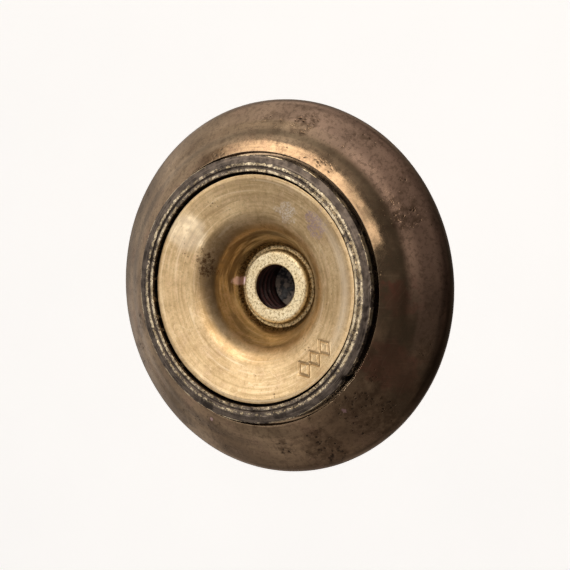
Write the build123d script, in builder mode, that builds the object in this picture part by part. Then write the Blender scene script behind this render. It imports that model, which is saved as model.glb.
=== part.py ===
from build123d import *
import os
from math import radians, sqrt, tan

# A squat turnip plumb bob with a dished top, as it hangs: +Z up, steel point down.
# Every piece is turned about Z.  The origin is the mouth of the threaded hole that
# takes the cord cap, in the middle of the boss.  Sizes are in millimetres.

# --- Driving dimensions: the bronze shell ---------------------------------------------
girth_radius = 35.0         # greatest radius of the bob
girth_drop = 2.5            # plane of the greatest radius, below the hole's mouth
rim_round = 3.9             # radius of the round at the girth
shoulder_height = 9.8       # mouth edge above the girth
shoulder_radius = 62.0      # the long convex sweep from the rim up to the mouth
mouth_round = 0.7           # round on the mouth edge, beside the collar
round_share = 0.9           # most of the mouth edge's height that its round may take
bowl_depth = 25.0           # where the bowl would meet the foot, below the girth
bowl_radius = 80.0          # the long convex sweep from the rim down to the foot
ogee_radius = 7.0           # hollow curve from the bowl into the foot
foot_radius = 6.5
foot_depth = 33.0           # lower face of the foot, below the girth
foot_chamfer = 0.4
shell_wall = 3.0            # casting thickness of shoulder and bowl
cavity_floor_depth = 20.5   # flat floor of the cavity, below the girth
neck_wall = 3.0             # ring of metal around the collar
ledge_width = 2.0           # ledge that the collar sits on
ledge_height = 2.0

# --- Driving dimensions: the collar ---------------------------------------------------
collar_radius = 24.5
collar_wall = 3.1           # width of the collar's top
collar_stand = 1.6          # the collar's lip above the shell's mouth edge
collar_fall = 0.4           # how far its outer edge lies under its lip
collar_length = 9.5
collar_edge_round = 0.15
mouth_gap = 0.3             # dark groove between collar and shell
lip_width = 0.7             # inner lip of the collar's top
groove_width = 0.4          # turned groove beside the lip
groove_depth = 0.25
ridge_width = 0.7           # ridge outside the groove

# --- Driving dimensions: the dished plug ----------------------------------------------
plug_gap = 0.4              # gap around the plug's flange
plug_drop = 0.8             # rim of the dish under the collar's lip
flange_height = 3.0
thread_step = 1.4           # seat under the flange
rim_land = 0.8              # narrow level band around the dish
rim_edge_round = 0.25
dish_slope = 16.0           # degrees of the wide outer part of the dish
well_slope = 61.0           # degrees of the steep wall around the boss
dish_roll = 6.0             # round between those two
boss_radius = 6.85
boss_height = 1.6           # boss face above the bottom of the trough
boss_round = 0.7
trough_width = 0.9          # bottom of the trough around the boss
trough_round = 0.35
hub_radius = 11.0           # solid middle of the plug, under the dish
web_height = 4.0            # metal under the bottom of the trough
hub_floor = 2.5             # metal under the drilled hole
skirt_width = 3.0           # threaded skirt under the flange

# --- Driving dimensions: the threaded hole for the cord cap (M10 x 1.5) ----------------
cord_hole_radius = 4.19     # minor radius of the thread
cord_hole_depth = 7.5       # full wall of the hole
cord_hole_chamfer = 0.2
drill_point = 118.0         # included angle at the bottom of the hole

# --- Driving dimensions: the lead and the steel point ----------------------------------
cast_shrinkage = 0.05       # the lead shrinks from the shell's walls by this
lead_gap = 0.5              # lead to the plug
point_thread_radius = 3.3   # minor radius of the point's thread (M8 x 1.25)
point_thread_depth = 11.0
point_shank_length = 10.0
point_fit = 0.05            # radial clearance of the shank
point_radius = 6.0
point_land = 1.5            # straight stretch above the cone
point_length = 17.0         # foot to tip
point_tip_radius = 0.3
shank_chamfer = 0.5

# --- Places worked out from the dimensions above ---------------------------------------
girth_z = -girth_drop
mouth_z = girth_z + shoulder_height
foot_z = girth_z - foot_depth
floor_z = girth_z - cavity_floor_depth
bowl_foot_z = girth_z - bowl_depth
mouth_radius = collar_radius + mouth_gap

collar_top_z = mouth_z + collar_stand
collar_bottom_z = collar_top_z - collar_length
collar_bore_radius = collar_radius - collar_wall
gap_bottom_z = mouth_z - collar_stand
ledge_radius = collar_radius - ledge_width
neck_radius = collar_radius + neck_wall
neck_bottom_z = collar_bottom_z - ledge_height

plug_radius = collar_bore_radius - plug_gap
plug_thread_radius = collar_bore_radius - thread_step
dish_rim_z = collar_top_z - plug_drop
seat_z = dish_rim_z - flange_height
trough_z = -boss_height
web_z = trough_z - web_height

# the dish's two slopes meet here, before the roll rounds them into each other
dish_edge_radius = plug_radius - rim_land
well_foot_radius = boss_radius + trough_width
outer_rise = tan(radians(dish_slope))
well_rise = tan(radians(well_slope))
bend_drop = dish_rim_z - trough_z - outer_rise * dish_edge_radius + well_rise * well_foot_radius
bend_radius = bend_drop / (well_rise - outer_rise)
bend_z = trough_z + well_rise * (bend_radius - well_foot_radius)

drill_depth = cord_hole_depth + cord_hole_radius / tan(radians(drill_point / 2))
hub_bottom_z = -(drill_depth + hub_floor)
lead_top_z = min(web_z, neck_bottom_z) - lead_gap

shank_radius = point_thread_radius - point_fit
shank_top_z = foot_z + point_shank_length
land_z = foot_z - point_land
tip_z = foot_z - point_length


def corner(section, radius, z):
    """The corner of a half section that lies nearest to a radius and a height."""
    return section.vertices().sort_by_distance((radius, z))[0]


# --- The bob's outer form, which the shell and its cavity both follow -------------------
rim_centre = Vector(girth_radius - rim_round, girth_z)
mouth_edge = Vector(mouth_radius, mouth_z)
bowl_foot = Vector(foot_radius, bowl_foot_z)


def leaves_rim(end, sweep, side):
    """The point on the rim's round where an arc that sweeps to an end leaves it smoothly.

    The two arcs share a tangent there, so their centres are in line with it.  Side is 1
    for an arc above the girth and -1 for one below it.
    """
    to_end = end - rim_centre
    centres_apart = sweep - rim_round
    along = (to_end.length**2 + centres_apart**2 - sweep**2) / (2 * to_end.length)
    across = sqrt(centres_apart**2 - along**2)
    towards = to_end.normalized()
    away = towards.rotate(Axis.Z, 90 * side)
    sweep_centre = rim_centre + towards * along + away * across
    return rim_centre + (rim_centre - sweep_centre).normalized() * rim_round


shoulder_start = leaves_rim(mouth_edge, shoulder_radius, 1)
bowl_start = leaves_rim(bowl_foot, bowl_radius, -1)

with BuildSketch(Plane.XZ) as outer_form:
    with BuildLine():
        shoulder = RadiusArc(mouth_edge, shoulder_start, shoulder_radius)
        ThreePointArc(shoulder_start, (girth_radius, girth_z), bowl_start)
        RadiusArc(bowl_start, bowl_foot, bowl_radius)
        Polyline(bowl_foot, (foot_radius, foot_z), (0, foot_z), (0, mouth_z), mouth_edge)
    make_face()
    fillet(corner(outer_form, foot_radius, bowl_foot_z), ogee_radius)

# the metal between the shoulder and the gap is a wedge, and a round fits in it only so far
mouth_wedge = (shoulder % 0).get_angle(Vector(0, -1))
widest_round = round_share * (mouth_z - gap_bottom_z) * tan(radians(mouth_wedge / 2))


def inside_form(inset, low_z, high_z):
    """The half section inside the outer form, set in by a wall, between two heights."""
    with BuildSketch(Plane.XZ) as form:
        add(outer_form.sketch_local)
        mirror(about=Plane.YZ)
        offset(amount=-inset)
        with Locations((0, low_z)):
            Rectangle(girth_radius, high_z - low_z, align=Align.MIN, mode=Mode.INTERSECT)
    return form.sketch_local


# --- body_shell: the bronze casting, with its cavity, neck, mouth and threaded foot -----
with BuildSketch(Plane.XZ) as cavity_form:
    add(inside_form(shell_wall, floor_z, mouth_z))
    # the neck stays solid around the collar, with the ledge under it
    with Locations((ledge_radius, neck_bottom_z)):
        Rectangle(
            neck_radius - ledge_radius,
            mouth_z - neck_bottom_z,
            align=Align.MIN,
            mode=Mode.SUBTRACT,
        )

with BuildPart() as body_shell:
    with BuildSketch(Plane.XZ) as shell_section:
        add(outer_form.sketch_local)
        add(cavity_form.sketch_local, mode=Mode.SUBTRACT)
        with BuildLine():
            Polyline(
                (0, neck_bottom_z),
                (ledge_radius, neck_bottom_z),
                (ledge_radius, collar_bottom_z),
                (collar_radius, collar_bottom_z),
                (collar_radius, gap_bottom_z),
                (mouth_radius, gap_bottom_z),
                (mouth_radius, mouth_z),
                (0, mouth_z),
                close=True,
            )
        make_face(mode=Mode.SUBTRACT)
        with Locations((0, foot_z)):
            Rectangle(point_thread_radius, point_thread_depth, align=Align.MIN, mode=Mode.SUBTRACT)
        fillet(corner(shell_section, mouth_radius, mouth_z), min(mouth_round, widest_round))
        chamfer(corner(shell_section, foot_radius, foot_z), foot_chamfer)
    revolve(axis=Axis.Z)

# --- mouth_collar: the dark ring in the shell's mouth, with its turned top --------------
lip_radius = collar_bore_radius + lip_width
ridge_radius = lip_radius + groove_width

with BuildPart() as mouth_collar:
    with BuildSketch(Plane.XZ) as collar_section:
        with BuildLine():
            Polyline(
                (plug_thread_radius, collar_bottom_z),
                (collar_radius, collar_bottom_z),
                (collar_radius, collar_top_z - collar_fall),
                (ridge_radius + ridge_width, collar_top_z),
                (ridge_radius, collar_top_z),
                (lip_radius + groove_width / 2, collar_top_z - groove_depth),
                (lip_radius, collar_top_z),
                (collar_bore_radius, collar_top_z),
                (collar_bore_radius, seat_z),
                (plug_thread_radius, seat_z),
                close=True,
            )
        make_face()
        top_corners = [
            corner(collar_section, collar_bore_radius, collar_top_z),
            corner(collar_section, collar_radius, collar_top_z - collar_fall),
        ]
        fillet(top_corners, collar_edge_round)
    revolve(axis=Axis.Z)

# --- dished_plug: the brass top, with the dish, the boss and the cord cap's hole --------
with BuildPart() as dished_plug:
    with BuildSketch(Plane.XZ) as plug_section:
        with BuildLine():
            Polyline(
                (0, hub_bottom_z),
                (hub_radius, hub_bottom_z),
                (hub_radius, web_z),
                (plug_thread_radius - skirt_width, collar_bottom_z),
                (plug_thread_radius, collar_bottom_z),
                (plug_thread_radius, seat_z),
                (plug_radius, seat_z),
                (plug_radius, dish_rim_z),
                (dish_edge_radius, dish_rim_z),
                (bend_radius, bend_z),
                (well_foot_radius, trough_z),
                (boss_radius, trough_z),
                (boss_radius, 0),
                (0, 0),
                close=True,
            )
        make_face()
        with BuildLine():
            Polyline(
                (0, 0),
                (cord_hole_radius + cord_hole_chamfer, 0),
                (cord_hole_radius, -cord_hole_chamfer),
                (cord_hole_radius, -cord_hole_depth),
                (0, -drill_depth),
                close=True,
            )
        make_face(mode=Mode.SUBTRACT)
        fillet(corner(plug_section, bend_radius, bend_z), dish_roll)
        fillet(corner(plug_section, plug_radius, dish_rim_z), rim_edge_round)
        fillet(corner(plug_section, boss_radius, 0), boss_round)
        fillet(corner(plug_section, boss_radius, trough_z), trough_round)
        fillet(corner(plug_section, well_foot_radius, trough_z), trough_round)
    revolve(axis=Axis.Z)

# --- lead_ballast: cast in the shell, then bored to clear the plug's hub ----------------
with BuildPart() as lead_ballast:
    with BuildSketch(Plane.XZ):
        add(inside_form(shell_wall + cast_shrinkage, floor_z, lead_top_z))
        with Locations((0, hub_bottom_z - lead_gap)):
            Rectangle(
                hub_radius + lead_gap,
                lead_top_z - hub_bottom_z + lead_gap,
                align=Align.MIN,
                mode=Mode.SUBTRACT,
            )
    revolve(axis=Axis.Z)

# --- steel_point: the replaceable point, screwed up into the foot -----------------------
with BuildPart() as steel_point:
    with BuildSketch(Plane.XZ) as point_section:
        with BuildLine():
            Polyline(
                (0, tip_z),
                (point_tip_radius, tip_z),
                (point_radius, land_z),
                (point_radius, foot_z),
                (shank_radius, foot_z),
                (shank_radius, shank_top_z),
                (0, shank_top_z),
                close=True,
            )
        make_face()
        chamfer(corner(point_section, shank_radius, shank_top_z), shank_chamfer)
    revolve(axis=Axis.Z)

# --- Write each piece -------------------------------------------------------------------
body_shell.part.label = "body_shell"
mouth_collar.part.label = "mouth_collar"
dished_plug.part.label = "dished_plug"
lead_ballast.part.label = "lead_ballast"
steel_point.part.label = "steel_point"

os.makedirs("parts", exist_ok=True)
export_step(body_shell.part, "parts/body_shell.step")
export_step(mouth_collar.part, "parts/mouth_collar.step")
export_step(dished_plug.part, "parts/dished_plug.step")
export_step(lead_ballast.part, "parts/lead_ballast.step")
export_step(steel_point.part, "parts/steel_point.step")
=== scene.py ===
# %% [markdown]
# # A turnip plumb bob with a dished top
# The bob is a squat bronze casting, turned and polished, that has gone brown with age.
# A dark collar sits in its mouth, a brass plug with a turned dish closes the collar, and a
# steel point screws into its foot.  Everything is round about one axis, so each piece is
# half a section drawn with a pen and spun once, and then worn, dented and threaded.

# %% Load the fixed frame
from math import atan2, cos, exp, hypot, log, pi, radians, sin, sqrt, tan
from random import Random

import bmesh
import bpy
from mathutils import Matrix, Vector, kdtree, noise


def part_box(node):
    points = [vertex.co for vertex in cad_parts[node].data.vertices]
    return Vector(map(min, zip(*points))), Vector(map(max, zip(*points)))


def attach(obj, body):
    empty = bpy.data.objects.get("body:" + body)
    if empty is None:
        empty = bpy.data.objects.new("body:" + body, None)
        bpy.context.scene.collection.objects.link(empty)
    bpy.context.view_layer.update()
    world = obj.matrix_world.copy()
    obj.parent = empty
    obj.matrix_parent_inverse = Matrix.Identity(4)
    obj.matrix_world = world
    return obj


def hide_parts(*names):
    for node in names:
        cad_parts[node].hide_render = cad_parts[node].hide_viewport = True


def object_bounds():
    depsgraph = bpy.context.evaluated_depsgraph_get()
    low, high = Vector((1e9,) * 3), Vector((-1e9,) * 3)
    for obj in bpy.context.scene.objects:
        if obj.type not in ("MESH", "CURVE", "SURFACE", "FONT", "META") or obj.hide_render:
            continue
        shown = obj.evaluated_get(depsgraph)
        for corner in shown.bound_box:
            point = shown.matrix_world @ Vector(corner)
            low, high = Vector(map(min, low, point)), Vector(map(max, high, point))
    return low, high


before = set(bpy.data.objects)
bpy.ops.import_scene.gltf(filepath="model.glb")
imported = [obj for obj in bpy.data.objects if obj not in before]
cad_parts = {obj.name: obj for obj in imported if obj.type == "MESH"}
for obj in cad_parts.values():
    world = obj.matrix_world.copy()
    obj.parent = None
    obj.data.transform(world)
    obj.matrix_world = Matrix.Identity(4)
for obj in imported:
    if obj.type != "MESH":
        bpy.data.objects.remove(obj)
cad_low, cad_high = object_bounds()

MM = 0.001

# %% [markdown]
# ## Sizes
# The frame already says how large each piece is, so the sizes are read from its boxes.
# Only what a box can't say, such as the radius of a round, is given here.
# Sections are drawn in millimetres, because a maker thinks in them, and each finished
# mesh is scaled to metres once.


# %% Read the sizes from the frame
def box_mm(node):
    """Greatest radius, lowest height and highest height of a node, in millimetres."""
    low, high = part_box(node)
    return high.x / MM, low.z / MM, high.z / MM


girth_radius, foot_z, _ = box_mm("body_shell")
collar_radius, collar_bottom_z, collar_top_z = box_mm("mouth_collar")
plug_radius, hub_bottom_z, dish_rim_z = box_mm("dished_plug")
point_radius, tip_z, shank_top_z = box_mm("steel_point")
print("girth", round(girth_radius, 2), "collar", round(collar_radius, 2), "plug", round(plug_radius, 2))

# %% Name the sizes that a box can't say
girth_z = -2.5
rim_round = 3.9
shoulder_radius = 62.0
bowl_radius = 80.0
mouth_round = 0.35
ogee_radius = 7.0
shell_wall = 3.0
mouth_gap = 0.3
mouth_drop = 1.6
collar_wall = 3.1
foot_radius = 6.5
bowl_depth = 25.0
cavity_depth = 20.5
ledge_width = 2.0
ledge_height = 2.0

bowl_foot_z = girth_z - bowl_depth
cavity_floor_z = girth_z - cavity_depth
mouth_radius = collar_radius + mouth_gap
mouth_z = collar_top_z - mouth_drop
neck_radius = collar_radius + shell_wall
ledge_radius = collar_radius - ledge_width
neck_bottom_z = collar_bottom_z - ledge_height
print("mouth", round(mouth_radius, 2), "neck", round(neck_radius, 2))

# %% [markdown]
# ## A pen for half sections
# A lathe piece needs only half its section.  The pen starts as one vertex; a straight
# stretch extrudes that vertex, and a round stretch spins it about the centre of the
# round, so an arc is a true arc.  Each vertex carries the number of the zone that it is
# drawn in, and extrude and spin hand that number on, so later steps know the dish from
# the thread without measuring.  Sharp corners are bevelled once the section is whole.


# %% Make the pen
class Outline:
    """Half a section in the XZ plane, drawn in millimetres."""

    def __init__(self, radius, z, zone=0):
        self.form = bmesh.new()
        self.zones = self.form.verts.layers.int.new("zone")
        self.pen = self.form.verts.new((radius, 0, z))
        self.pen[self.zones] = zone

    def enter(self, zone):
        """Numbers everything that is drawn from here on."""
        self.pen[self.zones] = zone

    def line(self, radius, z, parts=1):
        """Draws straight to a point, in equal parts."""
        start = self.pen.co.copy()
        end = Vector((radius, 0, z))
        for part in range(1, parts + 1):
            made = bmesh.ops.extrude_vert_indiv(self.form, verts=[self.pen])
            self.pen = made["verts"][0]
            self.pen.co = start.lerp(end, part / parts)

    def path(self, *places):
        """Draws straight from place to place."""
        for radius, z in places:
            self.line(radius, z)

    def arc(self, centre, end, parts):
        """Draws about a centre, the short way round, to a point."""
        begin_angle = atan2(self.pen.co.z - centre.y, self.pen.co.x - centre.x)
        end_angle = atan2(end.y - centre.y, end.x - centre.x)
        turned = (end_angle - begin_angle + pi) % (2 * pi) - pi
        hub = Vector((centre.x, 0, centre.y))
        made = bmesh.ops.spin(
            self.form, geom=[self.pen], cent=hub, axis=(0, -1, 0), angle=turned, steps=parts
        )
        self.pen = [item for item in made["geom_last"] if isinstance(item, bmesh.types.BMVert)][0]

    def soften(self, radius, z, size, parts=4):
        """Rounds the corner that lies nearest to a point, with a round of a given radius."""
        self.form.verts.ensure_lookup_table()
        place = Vector((radius, 0, z))
        corner = min(self.form.verts, key=lambda vertex: (vertex.co - place).length)
        sides = [(edge.other_vert(corner).co - corner.co).normalized() for edge in corner.link_edges]
        half_turn = (pi - sides[0].angle(sides[1])) / 2
        bmesh.ops.bevel(
            self.form,
            geom=[corner],
            offset=size * tan(half_turn),
            segments=parts,
            profile=0.5,
            affect="VERTICES",
            material=-1,
        )

    def refine(self, longest, keep=None):
        """Cuts long edges into equal parts, where keep says so."""
        groups = {}
        for edge in self.form.edges:
            middle = (edge.verts[0].co + edge.verts[1].co) / 2
            if keep is None or keep(middle.x, middle.z):
                cuts = int(edge.calc_length() / longest)
                groups.setdefault(cuts, []).append(edge)
        for cuts, edges in groups.items():
            if cuts > 0:
                bmesh.ops.subdivide_edges(self.form, edges=edges, cuts=cuts)


# %% [markdown]
# ## From section to piece
# The spin goes once round with its last step merged into its first, so there is no seam.
# Points on the axis are merged into one pole.  Normals are worked out again after that,
# because a spin can turn a shape inside out.  Edges sharper than 32 degrees stay crisp.


# %% Spin, finish and hand over a piece
SHARP_EDGE = radians(32)
WELD = 1e-5


def turn(outline, steps):
    """Spins half a section once round the bob's axis."""
    form = outline.form
    bmesh.ops.spin(
        form,
        geom=form.verts[:] + form.edges[:],
        cent=(0, 0, 0),
        axis=(0, 0, 1),
        angle=2 * pi,
        steps=steps,
        use_merge=True,
    )
    bmesh.ops.remove_doubles(form, verts=form.verts, dist=WELD)
    bmesh.ops.recalc_face_normals(form, faces=form.faces)
    form.normal_update()
    return form


def carve(form, depth_at):
    """Moves each vertex into the metal, against its normal, by a depth in millimetres."""
    moves = [(vertex, vertex.normal * depth_at(vertex)) for vertex in form.verts]
    for vertex, move in moves:
        vertex.co -= move


def ripple(point, depth, size):
    """How far a slow waver of the surface sinks a point: up to about twice a depth."""
    return depth * (1 + noise.noise(point / size))


def make_object(form, name, finishes):
    """Turns a form into an object in the scene and gives it its finishes."""
    mesh = bpy.data.meshes.new(name)
    form.to_mesh(mesh)
    form.free()
    for finish in finishes:
        mesh.materials.append(finish)
    made = bpy.data.objects.new(name, mesh)
    bpy.context.scene.collection.objects.link(made)
    return made


def hand_over(form, name, body, node, finishes, finish_of=lambda face: 0):
    """Turns a form into a smooth object in metres, on its body, in place of its node."""
    for face in form.faces:
        face.smooth = True
        face.material_index = finish_of(face)
    for edge in form.edges:
        edge.smooth = edge.calc_face_angle(0.0) < SHARP_EDGE
    bmesh.ops.scale(form, vec=(MM, MM, MM), verts=form.verts)
    piece = make_object(form, name, finishes)
    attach(piece, body)
    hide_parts(node)
    mesh = piece.data
    reach = [round(max(vertex.co[axis] for vertex in mesh.vertices) / MM, 2) for axis in range(3)]
    print(name, "triangles", sum(len(face.vertices) - 2 for face in mesh.polygons), "reach", reach)
    return piece


# %% [markdown]
# ## A workbench for finishes
# Each finish is a tree of nodes.  This small helper adds one node at a time and gives back
# its output, so that a finish reads like a recipe: where on the metal, how mottled, how
# deep.  Places are Object coordinates in millimetres, measured from the threaded hole.
# A number that is the same all over a finish is set on the shader itself.


# %% Make the workbench
def feed(tree, socket, value):
    """Links a socket to an output, or sets it to a plain value."""
    if isinstance(value, bpy.types.NodeSocket):
        tree.links.new(value, socket)
    else:
        socket.default_value = value


def add_node(tree, kind, feeds=None, **settings):
    """Adds a node to a tree, with its settings, and feeds its sockets."""
    made = tree.nodes.new("ShaderNode" + kind)
    for key, value in settings.items():
        setattr(made, key, value)
    for socket, value in (feeds or {}).items():
        feed(tree, made.inputs[socket], value)
    return made


class Workbench:
    """A material under construction; every method adds nodes and returns an output."""

    def __init__(self, name, metallic=0.0):
        self.material = bpy.data.materials.new(name)
        self.material.use_nodes = True
        self.tree = self.material.node_tree
        self.shader = self.tree.nodes["Principled BSDF"]
        self.shader.inputs["Metallic"].default_value = metallic
        objects = self.node("TexCoord").outputs["Object"]
        self.place = self.vector("SCALE", objects, scale=1 / MM)
        self.flat = self.vector("MULTIPLY", self.place, (1, 1, 0))
        self.radius = self.node("VectorMath", {0: self.flat}, operation="LENGTH").outputs["Value"]
        self.around = self.vector("NORMALIZE", self.flat)
        self.height = self.node("SeparateXYZ", {0: self.place}).outputs["Z"]

    def node(self, kind, feeds=None, **settings):
        return add_node(self.tree, kind, feeds, **settings)

    def vector(self, operation, a, b=(0, 0, 0), scale=1.0):
        made = self.node("VectorMath", {0: a, 1: b, 3: scale}, operation=operation)
        return made.outputs["Vector"]

    def math(self, operation, *values):
        """Joins two or more values with one operation, from left to right."""
        joined = values[0]
        for value in values[1:]:
            joined = self.node("Math", {0: joined, 1: value}, operation=operation).outputs[0]
        return joined

    def times(self, *values):
        return self.math("MULTIPLY", *values)

    def plus(self, *values):
        return self.math("ADD", *values)

    def most(self, *values):
        return self.math("MAXIMUM", *values)

    def level(self, value, low, high, bottom=0.0, top=1.0):
        """Reads a value between two marks, smoothly, as a number from bottom to top."""
        feeds = {"Value": value, "From Min": low, "From Max": high, "To Min": bottom, "To Max": top}
        return self.node("MapRange", feeds, interpolation_type="SMOOTHSTEP").outputs[0]

    def paint(self, share, under, over):
        """Lays one colour over another."""
        under = (*under, 1.0) if isinstance(under, tuple) else under
        over = (*over, 1.0) if isinstance(over, tuple) else over
        return self.node("Mix", {0: share, 6: under, 7: over}, data_type="RGBA").outputs[2]

    def coats(self, colour, *layers):
        """Lays several colours over a first one; each layer is a share and a colour."""
        for share, over in layers:
            colour = self.paint(share, colour, over)
        return colour

    def relief(self, *layers):
        """Raises the surface; each layer is a height of 0 to 1 and a depth in millimetres."""
        under = {}
        for height, depth in layers:
            feeds = {"Height": height, "Distance": depth * MM, "Strength": 1.0, **under}
            under = {"Normal": self.node("Bump", feeds).outputs["Normal"]}
        return under["Normal"]

    def wear(self, colour, roughness, normal=None):
        """Plugs the finished channels into the shader."""
        feed(self.tree, self.shader.inputs["Base Color"], colour)
        feed(self.tree, self.shader.inputs["Roughness"], roughness)
        if normal is not None:
            feed(self.tree, self.shader.inputs["Normal"], normal)
        return self.material


# %% [markdown]
# ## Patterns on turned metal
# Age leaves few kinds of mark: soft clouds, turning rings, ragged pits, hairlines, and
# patches that sit in one place.  Each kind is one method here, and a finish names the ones
# it needs.  A noise stretched along the turning makes rings, and one stretched along a
# straight line makes hairlines, so no mark is drawn by hand.


# %% Add the patterns
class Finish(Workbench):
    """A workbench that knows the marks of old turned metal."""

    def cloud(self, size, detail=3.0, place=None, roughness=0.55):
        """Soft noise whose lumps are about a size across, in millimetres."""
        feeds = {
            "Vector": self.place if place is None else place,
            "Scale": 1.0 / size,
            "Detail": detail,
            "Roughness": roughness,
        }
        return self.node("TexNoise", feeds).outputs["Fac"]

    def shifted(self, by):
        """The place, shifted, so that two clouds of one size don't match."""
        return self.vector("ADD", self.place, (by, -by, by / 2))

    def rings(self, pitch, waver, detail=2.0):
        """Turning marks: fine round the axis, long around it."""
        stretched = self.vector("SCALE", self.around, scale=waver)
        run = self.math("SUBTRACT", self.radius, self.height)
        along = self.node("CombineXYZ", {"Z": self.times(run, 1.0 / pitch)}).outputs[0]
        return self.cloud(1.0, detail, self.vector("ADD", stretched, along))

    def pits(self, size, share):
        """Small ragged pits: 1 in a pit and 0 between them."""
        pull = self.node("TexNoise", {"Vector": self.place, "Scale": 1.4 / size, "Detail": 2.0})
        pulled = self.vector("SCALE", pull.outputs["Color"], scale=size * 0.9)
        feeds = {"Vector": self.vector("ADD", self.place, pulled), "Scale": 1.0 / size}
        cells = self.node("TexVoronoi", feeds, feature="F1").outputs["Distance"]
        uneven = self.level(self.cloud(size * 2.2, 2.0), 0.35, 0.65, 0.25, 1.15)
        return self.level(cells, self.times(uneven, share), self.times(uneven, share * 0.3))

    def scratches(self, long, wide, turned):
        """Hairline scratches that lie one way: 1 in a scratch."""
        feeds = {0: self.place, "Angle": radians(turned)}
        spun = self.node("VectorRotate", feeds, rotation_type="Z_AXIS").outputs[0]
        drawn_out = self.vector("MULTIPLY", spun, (1 / long, 1 / wide, 1 / long))
        return self.level(self.cloud(1.0, 2.0, drawn_out), 0.60, 0.70)

    def spot(self, radius, azimuth, size, ragged=0.0):
        """A patch at a radius and an azimuth in degrees, with ragged edges."""
        centre = (radius * cos(radians(azimuth)), radius * sin(radians(azimuth)), 0)
        distance = self.node("VectorMath", {0: self.flat, 1: centre}, operation="DISTANCE")
        reach = distance.outputs["Value"]
        if ragged > 0:
            rough = self.cloud(size * 0.6, 4.0)
            reach = self.plus(reach, self.level(rough, 0.25, 0.75, -ragged, ragged))
        return self.level(reach, size, size * 0.55)

    def spots(self, places):
        """Several patches at once."""
        return self.most(*[self.spot(*place) for place in places])

    def band(self, inner, outer, soft):
        """1 between two radii."""
        return self.times(
            self.level(self.radius, inner - soft, inner + soft),
            self.level(self.radius, outer + soft, outer - soft),
        )

    def facing(self, azimuth, width):
        """1 on the side of the bob that looks towards an azimuth, fading to 0."""
        towards = (cos(radians(azimuth)), sin(radians(azimuth)), 0)
        made = self.node("VectorMath", {0: self.around, 1: towards}, operation="DOT_PRODUCT")
        return self.level(made.outputs["Value"], cos(radians(width)), 1.0)


# %% [markdown]
# ## Aged bronze
# The casting was polished long ago.  Handling and air have browned it unevenly: large
# clouds of brown and rose and clusters of tiny black pits.  A dark olive on one flank,
# red-brown patches near the foot of the shoulder and the bands on the upper shoulder
# are painted reflections of the room.  A metal shows its colour only in what it
# mirrors, so the clouds change the colour of the reflection and how sharp it is.
# Each patch below is a radius, an azimuth in degrees, a size and a raggedness.

# %% Say where the bronze has aged and where red reflections are painted
RED_REFLECTION_PATCHES = [(29.0, 236, 5.5, 2.0), (28.0, 262, 4.0, 2.0)]
PITTED_PATCHES = [
    (30.5, 218, 6.0, 2.5),
    (31.5, 195, 4.5, 2.0),
    (31.0, 338, 2.4, 1.0),
    (31.3, 288, 2.6, 1.2),
    (28.4, 151, 2.2, 0.9),
    (29.5, 181, 1.8, 0.8),
]
DUST_SPOTS = [(26.9, 150, 0.45, 0.1), (27.6, 212, 0.5, 0.15)]
print(len(PITTED_PATCHES), "pitted patches on the shell")


# %% Mix the bronze's ground
def bronze_ground(finish, clouds, drift, brushed):
    """Brown and rose clouds and brushing, with a painted dark olive reflection on one flank and two
    painted red-brown reflections.
    """
    rose = finish.level(drift, 0.52, 0.70, 0.0, 0.6)
    streaks = finish.level(brushed, 0.40, 0.68, 0.0, 0.30)
    # Painted reflections: dark olive on the flank facing 262 degrees, and red-brown in two patches, where
    # the polished bronze mirrors the dark room.
    olive_reflection = finish.times(finish.facing(262, 62), finish.level(drift, 0.30, 0.60, 0.35, 0.95))
    red_reflection = finish.times(finish.spots(RED_REFLECTION_PATCHES), finish.level(clouds, 0.35, 0.6, 0.25, 0.75))
    return finish.coats(
        finish.paint(finish.level(clouds, 0.35, 0.68), (0.36, 0.25, 0.16), (0.56, 0.41, 0.27)),
        (rose, (0.47, 0.31, 0.22)),
        (streaks, (0.26, 0.185, 0.125)),
        (olive_reflection, (0.15, 0.115, 0.075)),
        (red_reflection, (0.30, 0.125, 0.09)),
    )


def painted_shoulder_reflections(finish, colour):
    """Painted reflections on the upper shoulder: a dark band outside the land, then paler, rosier bands
    and a bright sheen out to the girth.
    """
    # Painted reflections: each band is painted only on the side of the shoulder that faces one way, as the
    # room's light and dark would show there.
    upper = finish.level(finish.height, girth_z, girth_z + 2.0)
    ring = finish.times(finish.band(28.2, 29.1, 0.4), upper, finish.facing(320, 110), 0.55)
    rosy_reflection = finish.times(finish.level(finish.radius, 30.6, 31.4), upper, finish.facing(305, 75), 0.75)
    painted_sheen = finish.times(finish.band(29.5, 31.2, 0.6), upper, finish.facing(298, 48), 0.75)
    return finish.coats(
        colour, (ring, (0.20, 0.155, 0.10)), (rosy_reflection, (0.66, 0.45, 0.35)), (painted_sheen, (0.95, 0.66, 0.51))
    )


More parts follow.
